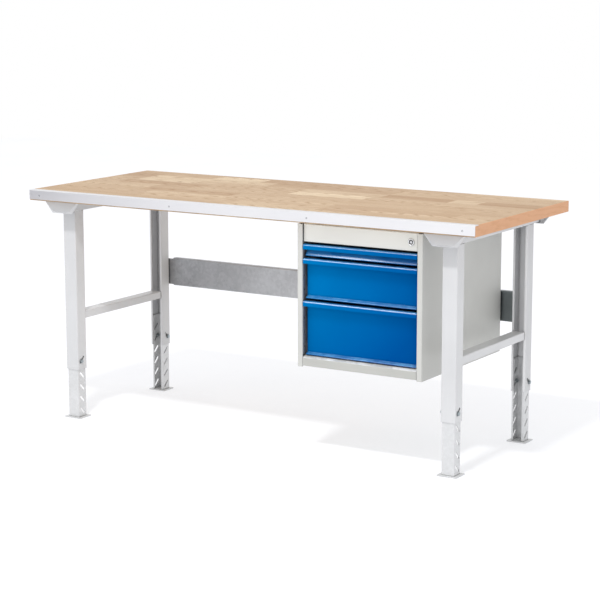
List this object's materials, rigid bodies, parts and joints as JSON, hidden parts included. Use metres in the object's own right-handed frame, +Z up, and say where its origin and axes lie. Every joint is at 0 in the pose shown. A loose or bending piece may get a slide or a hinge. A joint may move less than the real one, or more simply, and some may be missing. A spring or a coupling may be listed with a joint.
{
  "type": "workbench with drawers",
  "caption": "Steel-framed workbench with an oak worktop, height-adjustable legs, a rear rail and a hung drawer cabinet with a lock.",
  "frame": {"origin": "on the floor, under the middle of the worktop", "axes": "+X to the right along the worktop, -Y to the front where the drawers open, +Z up"},
  "size_m": [2, 0.8, 0.943],
  "materials": {
    "oak": "sanded and oiled parquet of oak staves",
    "edge_steel": "bright satin edge strip",
    "frame_paint": "light grey powder coat",
    "cabinet_paint": "warm light grey powder coat",
    "drawer_paint": "blue powder coat, semi-gloss",
    "galvanised_steel": "hot-dip galvanised sheet with a faint spangle",
    "zinc_plated_steel": "bright zinc plate",
    "chrome": "polished"
  },
  "bodies": {
    "bench": {"worktop_board": "oak", "front_edge_strip": "edge_steel", "top_beam_left": "frame_paint", "cross_rail_left": "frame_paint", "cabinet_left_side": "cabinet_paint", "cabinet_hanger_left": "galvanised_steel", "runner_rack_left": "galvanised_steel", "top_beam_right": "frame_paint", "cross_rail_right": "frame_paint", "cabinet_right_side": "cabinet_paint", "cabinet_hanger_right": "galvanised_steel", "runner_rack_right": "galvanised_steel", "outer_leg_front_left": "frame_paint", "outer_leg_rear_left": "frame_paint", "outer_leg_front_right": "frame_paint", "outer_leg_rear_right": "frame_paint", "rear_rail": "galvanised_steel", "cabinet_bottom": "cabinet_paint", "cabinet_top": "cabinet_paint", "cabinet_back": "cabinet_paint", "lock_fascia": "cabinet_paint", "lock_housing": "chrome"},
    "foot_front_left": {"inner_leg_front_left": "galvanised_steel", "foot_plate_front_left": "galvanised_steel"},
    "clamp_front_left": {"leg_bolt_front_left_outside": "zinc_plated_steel", "leg_bolt_front_left_inside": "zinc_plated_steel"},
    "foot_rear_left": {"inner_leg_rear_left": "galvanised_steel", "foot_plate_rear_left": "galvanised_steel"},
    "clamp_rear_left": {"leg_bolt_rear_left_outside": "zinc_plated_steel", "leg_bolt_rear_left_inside": "zinc_plated_steel"},
    "foot_front_right": {"inner_leg_front_right": "galvanised_steel", "foot_plate_front_right": "galvanised_steel"},
    "clamp_front_right": {"leg_bolt_front_right_outside": "zinc_plated_steel", "leg_bolt_front_right_inside": "zinc_plated_steel"},
    "foot_rear_right": {"inner_leg_rear_right": "galvanised_steel", "foot_plate_rear_right": "galvanised_steel"},
    "clamp_rear_right": {"leg_bolt_rear_right_outside": "zinc_plated_steel", "leg_bolt_rear_right_inside": "zinc_plated_steel"},
    "top_drawer": {"top_drawer_front": "drawer_paint", "top_drawer_tray": "drawer_paint", "top_drawer_rail_left": "zinc_plated_steel", "top_drawer_rail_right": "zinc_plated_steel"},
    "top_drawer_carriers": {"top_drawer_carrier_left": "zinc_plated_steel", "top_drawer_carrier_right": "zinc_plated_steel"},
    "middle_drawer": {"middle_drawer_front": "drawer_paint", "middle_drawer_tray": "drawer_paint", "middle_drawer_rail_left": "zinc_plated_steel", "middle_drawer_rail_right": "zinc_plated_steel"},
    "middle_drawer_carriers": {"middle_drawer_carrier_left": "zinc_plated_steel", "middle_drawer_carrier_right": "zinc_plated_steel"},
    "bottom_drawer": {"bottom_drawer_front": "drawer_paint", "bottom_drawer_tray": "drawer_paint", "bottom_drawer_rail_left": "zinc_plated_steel", "bottom_drawer_rail_right": "zinc_plated_steel"},
    "bottom_drawer_carriers": {"bottom_drawer_carrier_left": "zinc_plated_steel", "bottom_drawer_carrier_right": "zinc_plated_steel"},
    "lock_barrel": {"lock_barrel": "chrome"},
    "lock_bar": {"lock_bar": "zinc_plated_steel"}
  },
  "joints": [
    {"name": "top_drawer_slide", "type": "slide", "parent": "bench", "child": "top_drawer", "axis": [0, -1, 0], "range_m": [0, 0.55]},
    {"name": "top_carrier_slide", "type": "slide", "parent": "bench", "child": "top_drawer_carriers", "axis": [0, -1, 0], "range_m": [0, 0.275]},
    {"name": "middle_drawer_slide", "type": "slide", "parent": "bench", "child": "middle_drawer", "axis": [0, -1, 0], "range_m": [0, 0.55]},
    {"name": "middle_carrier_slide", "type": "slide", "parent": "bench", "child": "middle_drawer_carriers", "axis": [0, -1, 0], "range_m": [0, 0.275]},
    {"name": "bottom_drawer_slide", "type": "slide", "parent": "bench", "child": "bottom_drawer", "axis": [0, -1, 0], "range_m": [0, 0.55]},
    {"name": "bottom_carrier_slide", "type": "slide", "parent": "bench", "child": "bottom_drawer_carriers", "axis": [0, -1, 0], "range_m": [0, 0.275]},
    {"name": "lock_turn", "type": "hinge", "parent": "bench", "child": "lock_barrel", "pos_m": [0.71, -0.32, 0.854], "axis": [0, 1, 0], "range_deg": [0, 90]},
    {"name": "lock_bar_lift", "type": "slide", "parent": "bench", "child": "lock_bar", "axis": [0, 0, 1], "range_m": [0, 0.012]},
    {"name": "leg_height_front_left", "type": "slide", "parent": "bench", "child": "foot_front_left", "axis": [0, 0, 1], "range_m": [0, 0.03]},
    {"name": "clamp_shift_front_left", "type": "slide", "parent": "bench", "child": "clamp_front_left", "axis": [0, 0.7071, 0.7071], "range_m": [0, 0.0213]},
    {"name": "leg_height_rear_left", "type": "slide", "parent": "bench", "child": "foot_rear_left", "axis": [0, 0, 1], "range_m": [0, 0.03]},
    {"name": "clamp_shift_rear_left", "type": "slide", "parent": "bench", "child": "clamp_rear_left", "axis": [0, -0.7071, 0.7071], "range_m": [0, 0.0213]},
    {"name": "leg_height_front_right", "type": "slide", "parent": "bench", "child": "foot_front_right", "axis": [0, 0, 1], "range_m": [0, 0.03]},
    {"name": "clamp_shift_front_right", "type": "slide", "parent": "bench", "child": "clamp_front_right", "axis": [0, 0.7071, 0.7071], "range_m": [0, 0.0213]},
    {"name": "leg_height_rear_right", "type": "slide", "parent": "bench", "child": "foot_rear_right", "axis": [0, 0, 1], "range_m": [0, 0.03]},
    {"name": "clamp_shift_rear_right", "type": "slide", "parent": "bench", "child": "clamp_rear_right", "axis": [0, -0.7071, 0.7071], "range_m": [0, 0.0213]}
  ],
  "couplings": [
    {"joint": "top_carrier_slide", "follows": "top_drawer_slide", "ratio": 0.5},
    {"joint": "middle_carrier_slide", "follows": "middle_drawer_slide", "ratio": 0.5},
    {"joint": "bottom_carrier_slide", "follows": "bottom_drawer_slide", "ratio": 0.5},
    {"joint": "lock_turn", "follows": "lock_bar_lift", "rad_per_m": 130.7},
    {"joint": "clamp_shift_front_left", "follows": "leg_height_front_left", "ratio": 0.70711},
    {"joint": "clamp_shift_rear_left", "follows": "leg_height_rear_left", "ratio": 0.70711},
    {"joint": "clamp_shift_front_right", "follows": "leg_height_front_right", "ratio": 0.70711},
    {"joint": "clamp_shift_rear_right", "follows": "leg_height_rear_right", "ratio": 0.70711}
  ]
}
